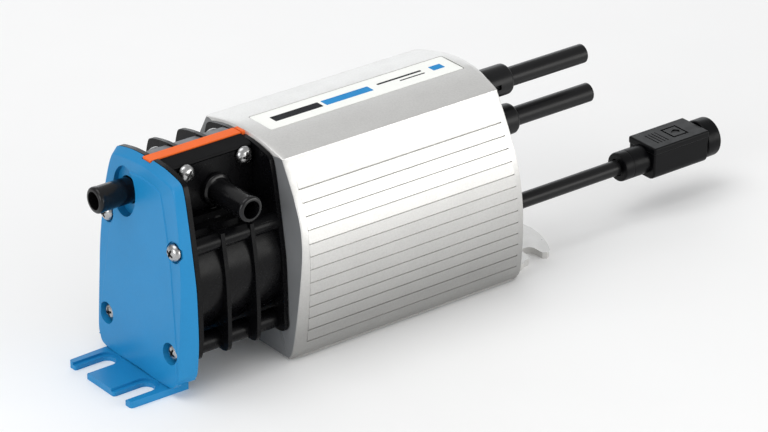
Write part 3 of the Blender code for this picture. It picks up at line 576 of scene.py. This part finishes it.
def cord_mesh(route, radius, sides=40, round_end=0.35):
    """A tube along a straight route, with softly rounded ends."""
    start, end = route[0][0], route[-1][0]
    length = end - start
    shape = [(0, 0), (radius - round_end, 0)]
    shape += [(radius - round_end + round_end * math.sin(a), round_end - round_end * math.cos(a))
              for a in (0.5, 1.0, math.pi / 2)]
    steps = len(route) - 1
    shape += [(radius, length * i / steps) for i in range(1, steps)]
    shape += [(radius - round_end + round_end * math.cos(a), length - round_end + round_end * math.sin(a))
              for a in (0, 0.55, 1.1)]
    shape += [(radius - round_end, length), (0, length)]
    return turned(shape, (start, CABLE_Y, route[0][2]), X_AXIS, sides)


for label, z, end, sleeve_end in STUBS:
    start = cap_face(z) + 1.0
    route = cord_route(start, end, z, 16)
    stub = show(f"cable_{label}", cord_mesh(route, STUB_R), RUBBER, [f"cable_stub_{label}"])
    reach = sleeve_end - start
    bore = STUB_R + 0.25
    sleeve = [(bore, 0.6), (bore + 0.5, 0.0), (5.2, 0.0), (5.75, 0.25), (6.08, 0.8), (6.15, 1.6),
              (6.15, reach), (bore, reach)]
    notch = sleeve_end - 9.4
    sleeve_mesh = solid(turned(sleeve, (sleeve_end, CABLE_Y, z), (-1, 0, 0), 56),
                        cuts=[box((notch, CABLE_Y - 7.0, z - 0.8), (notch + 2.8, CABLE_Y - 4.9, z + 1.2))])
    show(f"sleeve_{label}", sleeve_mesh, RUBBER, [f"cable_sleeve_{label}"])

lead_start = cap_face(LEAD_Z) + 1.0
gland = [(LEAD_R + 0.25, 6.0), (4.3, 6.0), (4.9, 5.7), (5.2, 5.1), (5.6, 0.0), (LEAD_R + 0.25, 0.0)]
show("lead_gland_piece", turned(gland, (lead_start, CABLE_Y, LEAD_Z), X_AXIS), RUBBER,
     ["lead_gland"])

relief_start = LEAD_END + 0.3
relief = [(0, 0.9), (LEAD_R + 0.2, 0.9), (LEAD_R + 0.5, 0.0), (5.3, 0.0), (5.8, 0.2), (6.0, 0.7),
          (6.0, 4.0), (5.85, 4.2), (5.85, 4.7), (6.0, 4.9), (6.0, 12.4), (0, 12.4)]
relief_piece = show("strain_relief_piece", turned(relief, (relief_start, CABLE_Y, LEAD_Z), X_AXIS),
                    PLUG_BLACK, ["strain_relief"])

plug_low, plug_high = LEAD_END + 13.0, LEAD_END + 42.2
plug_outline = [(CABLE_Y + y, LEAD_Z + z) for y, z in
                arc((4.3, -3.7), 3.5, -90, 0, 6) + [(7.8, 5.0), (-7.8, 5.0)]
                + arc((-4.3, -3.7), 3.5, 180, 270, 6)]
plug_mesh = softened(plate(plug_outline, plug_low + 0.3, plug_high), 0.8, 4)
lid_low, lid_high = (plug_low, CABLE_Y - 8.2), (plug_high, CABLE_Y + 8.2)
lid = softened(plate(rounded(lid_low, lid_high, 0.9), LEAD_Z + 4.2, LEAD_Z + 7.2, "Z"), 0.7, 4)
top = LEAD_Z + 7.2
marks = []
for line_x in [plug_low + 5.0 + 1.7 * i for i in range(4)]:
    marks.append(box((line_x, CABLE_Y - 4.6, top - 0.35), (line_x + 0.5, CABLE_Y + 4.2, top + 1)))
frame_low, frame_high = (plug_low + 13.5, CABLE_Y - 4.2), (plug_low + 21.5, CABLE_Y + 4.4)
frame_cut = solid(box((*frame_low, top - 0.4), (*frame_high, top + 1)),
                  cuts=[box((frame_low[0] + 0.8, frame_low[1] + 0.8, top - 2),
                            (frame_high[0] - 0.8, frame_high[1] - 0.8, top + 2))])
drop = [(plug_low + 15.4, CABLE_Y), *arc((plug_low + 18.2, CABLE_Y), 1.6, 130, -130, 12)]
marks += [frame_cut, plate(drop, top - 0.35, top + 1, "Z")]
socket = rod((plug_high - 4.0, CABLE_Y, LEAD_Z), X_AXIS, 8, 5.5)
plug_mesh = solid(plug_mesh, [lid], [union(marks), socket])
plug_piece = show("connector_piece", plug_mesh, PLUG_BLACK, ["connector_body"])
shroud = [(5.8, 6.8), (7.1, 6.8), (7.6, 6.65), (7.95, 6.3), (8.1, 5.8), (8.1, 0.5), (7.7, 0.0), (5.8, 0.0)]
shroud_piece = show("connector_shroud_piece",
                    turned(shroud, (plug_high + 0.3, CABLE_Y, LEAD_Z), X_AXIS), PLUG_BLACK,
                    ["connector_shroud"])

route = cord_route(lead_start, LEAD_END, LEAD_Z, 20)
lead_piece = show("lead_cable", cord_mesh(route, LEAD_R, 36), RUBBER, ["lead"])


# ------------------------------------------------------------------ front cover

# How far each ring of the cover's rounded border has come from its rear to its face, as shares of its
# depth and of its outline's change
BLEND = ((0.0, 0.0), (0.35, 0.28), (0.72, 0.58), (0.84, 0.68), (0.91, 0.76), (0.96, 0.85), (0.99, 0.93),
         (1.0, 1.0))


def blend_ring(depth, share):
    """A ring of the border, depth and share on the way from the rear outline to the face."""
    ring = []
    for (y0, z0), (y1, z1) in zip(closed(BODY_HALF), closed(FACE_HALF)):
        border = FACE_LEAN * (z1 - FOOT_THICK) + BORDER_STEP
        ring.append((COVER_REAR + (border - COVER_REAR) * depth,
                     y0 + (y1 - y0) * share, z0 + (z1 - z0) * share))
    return ring


def panel_ring(depth, shrink):
    """A ring of the raised panel, which leans back with the face."""
    pulled = inset(closed(PANEL_HALF), shrink)
    return [(FACE_LEAN * (z - FOOT_THICK) + depth, y, z) for y, z in pulled]


cover_mesh = loft([blend_ring(*step) for step in BLEND])
panel_mesh = loft([panel_ring(3.0, 0), panel_ring(0.62, 0), panel_ring(0.3, 0.1), panel_ring(0.1, 0.28),
                   panel_ring(0.0, 0.55)])
foot_outline = [(8.6, -FOOT_HALF - 0.4), (8.6, FOOT_HALF + 0.4), (-1.0, FOOT_HALF + 0.4)]
foot_outline += arc((FOOT_TIP + 1.2, FOOT_HALF - 1.2), 1.2, 90, 180, 6)
foot_outline += arc((FOOT_TIP + 0.8, SLOT_Y + SLOT_R + 0.8), 0.8, 180, 270, 5)
foot_outline += arc((SLOT_END, SLOT_Y), SLOT_R, 90, -90, 20)
foot_outline += arc((FOOT_TIP + 1.2, SLOT_Y - SLOT_R - 1.2), 1.2, 90, 180, 6)
foot_outline += [(x, -y) for x, y in reversed(foot_outline[2:])][:-1]
foot_mesh = plate(foot_outline, 0.0, FOOT_THICK, "Z")
web_mesh = box((1.0, -FOOT_HALF, 0.6), (COVER_REAR, FOOT_HALF, 9.0))


def slot_recess(y):
    """A U-shaped step round a foot slot, open at the foot's tip."""
    return [(FOOT_TIP - 2, y - 5.2), *arc((SLOT_END, y), 5.2, -90, 90, 20), (FOOT_TIP - 2, y + 5.2)]


inlet_recess = [(10.6 + 7.4 * math.cos(a), 70.2 + 9.8 * math.sin(a))
                for a in [math.tau * i / 72 for i in range(72)]]
cover_cuts = [plate(inlet_recess, -3.0, 6.4), rod((-3, *INLET), X_AXIS, 16, 5.4, 64)]
for side in SIDES:
    low_seat = (-4, side * LOW_BOSS[0], LOW_BOSS[1])
    high_seat = (-4, side * HIGH_SCREW[0], HIGH_SCREW[1])
    cover_cuts += [rod(low_seat, X_AXIS, 9.0, 4.3), rod(high_seat, X_AXIS, 8.5, 4.2)]
    cover_cuts += [rod(seat, X_AXIS, 20, SCREW_HOLE_R, 24) for seat in (low_seat, high_seat)]
    cover_cuts.append(plate(slot_recess(side * SLOT_Y), FOOT_THICK - 1.0, FOOT_THICK + 3, "Z"))
cover_cuts.append(box((6.7, -STRIPE_HALF, STRIPE_BED), (12, STRIPE_HALF, 90)))
cover_mesh = solid(cover_mesh, [panel_mesh, foot_mesh, web_mesh], cover_cuts)
show("front_cover_piece", softened(cover_mesh, 0.28, 3, 26), BLUE, ["front_cover"])


# ------------------------------------------------------------------ pump housing and valve block

def boss(side, place, radius):
    """A screw bar along the drum."""
    return rod((9.2, side * place[0], place[1]), X_AXIS, 38.9, radius)


ribs = [plate(housing_outline(13.6, 0.8), *rib) for rib in RIBS]
bosses = [boss(side, LOW_BOSS, 3.8) for side in SIDES] + [boss(side, HIGH_BOSS, 3.4) for side in SIDES]
near_bay = [box((0, -40, 61.2), (60, -12.5, 95)), box((0, -13.0, 64.0), (60, -8.0, 95))]
block_room = [box((0, -BLOCK_HALF, 65.5), (60, BLOCK_HALF, 95)), box((0, 8.5, 65.2), (21.2, 17.3, 76.8))]
housing = solid(rod((9.0, 0, AXIS_Z), X_AXIS, 39.3, DRUM_R, 160), ribs + bosses, near_bay + block_room)

# Each rib runs on over the grey strip as a low crest.
crest = [(2.85, 84.6), (9.25, 83.5), (9.4, 83.5), (9.4, 85.45), (5.0, 85.78), (2.85, 85.84)]
flanges = [plate(housing_outline(14.3), *FLANGE_FRONT), plate(housing_outline(13.4, 1.4), *FLANGE_REAR)]
bores = [rod((0, 0, AXIS_Z), X_AXIS, 43.0, 23.5, 96), rod((30, 0, AXIS_Z), X_AXIS, 30, 6.3, 32),
         rod((0, *INLET), X_AXIS, 20, 3.5, 32)]
stripe_bed = box((0, -STRIPE_HALF, STRIPE_BED), (60, STRIPE_HALF, 95))
housing = solid(housing, flanges + [plate(crest, *rib) for rib in RIBS], bores + [stripe_bed])
show("pump_housing_piece", softened(housing, 0.28, 3, 32), BLACK, ["pump_housing"])

block_outline = [(9, 65.8), (9, 83.4), (2.8, 84.5), (-2.8, 84.5), (-9, 83.4), (-9, 65.8)]
block_joins = [box((10.5, 6.0, 65.8), (20.9, 17.0, 76.5))]
block_cuts = [rod((5, *INLET), X_AXIS, 12.0, 3.0, 32),
              rod((OUTLET[0], -20, OUTLET[1]), (0, 1, 0), 16.0, 3.0, 32)]
for side in SIDES:
    for x in BLOCK_SCREW_X:
        block_cuts.append(rod((x, side * 12, BLOCK_SCREW_Z), (0, -side, 0), 11.5, SCREW_HOLE_R, 24))
block = solid(plate(block_outline, *BLOCK), block_joins, block_cuts)
show("valve_block_piece", softened(block, 0.3, 2, 30), BLACK, ["valve_block"])

label_panel = [(-9.1, 83.75), (-8.8, 84.7), (-2.75, 86.1), (-2.75, 84.85)]
show("label_panel_piece", softened(plate(label_panel, *BLOCK), 0.12, 2), LABEL_BLACK, ["top_label_panel"])
grey_strip = [(2.75, 84.85), (9.1, 83.75), (8.8, 84.45), (2.75, 85.5)]
strip_cuts = [box((low - 0.1, 2, 80), (high + 0.1, 10, 90)) for low, high in RIBS]
show("top_strip_piece", softened(solid(plate(grey_strip, *BLOCK), cuts=strip_cuts), 0.12, 2), GREY,
     ["top_strip"])
stripe = [(-2.45, 84.9), (2.45, 84.9), (2.45, 86.5), (-2.45, 86.5)]
show("indicator_piece", softened(plate(stripe, 7.0, 47.2), 0.12, 2), ORANGE, ["indicator_strip"])
show("indicator_tail_piece", softened(plate(stripe, 47.7, 49.2), 0.12, 2), ORANGE, ["indicator_tail"])


# ------------------------------------------------------------------ ports

inlet = [(3.5, 16.9), (4.1, 16.9), (4.65, 16.7), (5.0, 16.3), (5.1, 15.8), (5.1, 14.8), (4.95, 14.2),
         (4.95, 0.0), (3.5, 0.0)]
show("inlet_spigot", turned(inlet, (7.6, *INLET), (-1, 0, 0)), BLACK_GLOSS, ["inlet_port"])
outlet = [(3.5, 22.5), (4.0, 22.5), (4.6, 22.3), (4.95, 21.9), (5.05, 21.4), (5.05, 20.4), (4.85, 19.8),
          (4.85, 2.6), (5.1, 2.1), (6.0, 1.8), (6.3, 1.4), (6.3, 0.0), (3.5, 0.0)]
show("outlet_spigot", turned(outlet, (OUTLET[0], -BLOCK_HALF, OUTLET[1]), (0, -1, 0)), BLACK_GLOSS,
     ["outlet_port"])


# ------------------------------------------------------------------ screws

# A pan head from its crown to its seat, as (radius, height)
HEAD = [(0, 2.70), (0.9, 2.66), (1.8, 2.48), (2.5, 2.13), (3.05, 1.62), (3.35, 1.05), (3.5, 0.45),
        (3.47, 0.15), (3.3, 0.0), (1.5, 0.0)]


def pan_screw(name, node, seat, axis, length, spin):
    """A cross-slot pan screw whose head stands on its seat and points along the axis."""
    shank = [(1.5, 1.0 - length), (0.6, -length), (0, -length)]
    mesh = turned(HEAD + shank, (0, 0, 0), (0, 0, 1), 48)
    wide, slim = 1.9, 0.42
    cross = [(wide, slim), (0.55, 0.55), (slim, wide), (-slim, wide), (-0.55, 0.55), (-wide, slim)]
    cross += [(-a, -b) for a, b in cross]
    cutter = loft([[(a * 0.8, b * 0.8, 0.5) for a, b in cross], [(a, b, 2.75) for a, b in cross],
                   [(a * 1.1, b * 1.1, 3.2) for a, b in cross]], False)
    mesh = solid(mesh, cuts=[cutter])
    mesh.transform(Matrix.Translation(seat) @ direction(axis) @ Matrix.Rotation(math.radians(spin), 4, "Z"))
    show(name, mesh, STEEL, [node], sharp=34)


for number, side in enumerate(SIDES, 1):
    pan_screw(f"screw_low_{number}", f"front_screw_low_{number}",
              (4.2, side * LOW_BOSS[0], LOW_BOSS[1]), (-1, 0, 0), 18, 25 + 40 * number)
    pan_screw(f"screw_high_{number}", f"front_screw_high_{number}",
              (3.9, side * HIGH_SCREW[0], HIGH_SCREW[1]), (-1, 0, 0), 17, 10 + 55 * number)
for side, label in zip(SIDES, ("near", "far")):
    for number, x in enumerate(BLOCK_SCREW_X, 1):
        pan_screw(f"screw_{label}_{number}", f"block_screw_{label}_{number}",
                  (x, side * BLOCK_HALF, BLOCK_SCREW_Z), (0, side, 0), 7.5, 20 + 35 * number)


# ------------------------------------------------------------------ motor cover

def shell_ring(outline, x_of):
    """A ring at one X, or at an X that depends on height."""
    return [(x_of(z) if callable(x_of) else x_of, y, z) for y, z in outline]


def half_width(z):
    """The cover's half width at a height on its side."""
    return between([(h, y) for y, h in SHELL_HALF if 2.0 < h < 84.0], z)


def side_bar(side, section, ends):
    """A bar along the cover's side, with its ends at the given functions of height."""
    return loft([[(x_of(z), side * y, z) for y, z in section] for x_of in ends], False)


def panel_front(z):
    """Where the lapped panel starts at a height."""
    return between(PANEL_EDGE, z)


def panel_rear(z):
    return rear_x(z) - REAR_BAND


# Each board stands out by LAP_STEP at its lower edge, and the next starts almost flush under it.
face = [(half_width(LAP_TOP) - 0.02, LAP_TOP)]
for z in LAPS:
    face += [(half_width(z) + LAP_STEP, z), (half_width(z - 0.3) + 0.08, z - 0.3)]
face[-1] = (face[-1][0] - 0.4, face[-1][1])
section = face + [(y - 1.0, z) for y, z in reversed(face)]
ends = (panel_front, panel_rear)
groove_ends = (lambda z: panel_front(z) - 0.12, lambda z: panel_rear(z) + 0.12)
boards = [side_bar(side, section, ends) for side in SIDES]
grooves = []
for side in SIDES:
    for z in LAPS:
        y = half_width(z)
        groove = [(y - GROOVE_DEPTH, z - 0.5), (y + 1.0, z - 0.56), (y + 1.0, z + 0.04),
                  (y - GROOVE_DEPTH, z - 0.02)]
        grooves.append(side_bar(side, groove, groove_ends))

lip = [(0.8 * y, 14.5 + (z - 1.8) * 0.833) for y, z in SHELL]
cover = loft([
    shell_ring(lip, RIM_FRONT), shell_ring(inset(SHELL, 0.7), RIM_EDGE - 0.16),
    shell_ring(inset(SHELL, 0.48), RIM_EDGE - 0.02), shell_ring(inset(SHELL, 0.34), RIM_EDGE + 0.2),
    shell_ring(SHELL, lambda z: panel_front(z) - 0.6), shell_ring(SHELL, lambda z: panel_rear(z) + 0.4),
    shell_ring(inset(SHELL, 0.42), lambda z: rear_x(z) - 0.4),
    shell_ring(inset(SHELL, 0.58), lambda z: rear_x(z) - 0.08), shell_ring(inset(SHELL, 0.85), rear_x)])


def shrunk(distance):
    """The cover's outline scaled in, so that a wall of about this thickness is left."""
    return [(y * (1 - distance / 34), 0.8 + distance + (z - 0.8) * (1 - 2 * distance / 85.5))
            for y, z in SHELL]


hollow = shrunk(2.0)
mouth = inset(housing_outline(16.0, 3.0), 1.5)
cover = solid(cover, cuts=[loft([shell_ring(hollow, RIM_FRONT + 2.0), shell_ring(hollow, 175)]),
                           plate(mouth, 40, 60),
                           plate(rounded(*NAMEPLATE, 0.9), 85.2, 90, "Z")])
cover = solid(cover, joins=boards)
cover = solid(cover, cuts=[union(grooves)])
cover_piece = show("motor_cover_piece", cover, SILVER, ["motor_cover"], sharp=24)
# The rim's forward-facing faces get the dark grey as painted shade.
cover_piece.data.materials.append(RIM_PAINTED_SHADE)
for polygon in cover_piece.data.polygons:
    if polygon.normal.x < -0.9 and polygon.center.x < (RIM_EDGE - ORIGIN_X) / 1000:
        polygon.material_index = 1

plaque = softened(plate(rounded((57.7, -7.0), (148.4, 7.0), 0.6), 85.25, 86.0, "Z"), 0.08, 2)
show("nameplate_piece", plaque, CREAM, ["nameplate"])

# Plain bars in the place of the label's words and mark, as (name, X range, Y range, ink)
MARKS = (("dark_bar", 63.5, 85.5, -2.1, 2.1, INK), ("blue_bar", 87.0, 109.0, -2.1, 2.1, BLUE_INK),
         ("upper_line", 113.0, 134.0, 0.6, 1.7, INK), ("lower_line", 122.0, 134.0, -1.7, -1.0, INK),
         ("blue_square", 138.0, 143.5, -1.8, 1.9, BLUE_INK))
for name, left, right, low, high, ink in MARKS:
    mark = plate(rounded((left, low), (right, high), 0.3), 85.9, 86.04, "Z")
    show(f"label_{name}", mark, ink)


# ------------------------------------------------------------------ rear cap and foot

plug = shrunk(2.3)


def cap_ring(depth, shrink=0.0):
    """A ring of the rear cap, at a depth inside the cover's end."""
    return [(rear_x(z) - depth, y, z) for y, z in inset(plug, shrink)]


cap_mesh = loft([cap_ring(3.4), cap_ring(1.5), cap_ring(1.0, 0.2), cap_ring(0.8, 0.6)])
foot_back = smooth([(162.0, 22.6), (166.0, 22.0), (168.6, 20.6)], 6)
foot_half = foot_back + [(170.9, 20.2), (172.3, 19.0), (172.6, 15.4)]
foot_half += arc((175.9, 15.2), 3.3, 180, 360, 20)
foot_half += [(179.2, 19.2), (180.6, 20.3)]
foot_half += smooth([(182.2, 19.4), (184.6, 15.2), (186.6, 10.4), (188.2, 5.0), (188.8, 0)], 5)
foot_loop = foot_half + [(x, -y) for x, y in reversed(foot_half[:-1])]
foot_loop += [(161.4, -22.6), (161.4, 22.6)]
gusset = [(157.9, 4.4), (157.9, 12.0), (163.4, 9.0), (165.0, 3.0), (165.0, 1.0), (161.4, 1.0),
          (161.4, 4.4)]
foot_mesh = loft([[(x, y, z) for x, y in inset(foot_loop, shrink)]
                  for z, shrink in ((0.0, 0.0), (2.3, 0.0), (2.75, 0.12), (3.0, 0.45))], False)
cap_mesh = solid(cap_mesh, [foot_mesh, plate(gusset, -20.0, 20.0, "Y")])
show("rear_cap_piece", cap_mesh, SILVER_PLAIN, ["rear_cap"], sharp=30)


# ------------------------------------------------------------------ floor and end

bpy.ops.mesh.primitive_plane_add(size=6, location=(0, 0, 0))
floor = bpy.context.object
floor.name = "floor"
floor.data.materials.append(FLOOR)
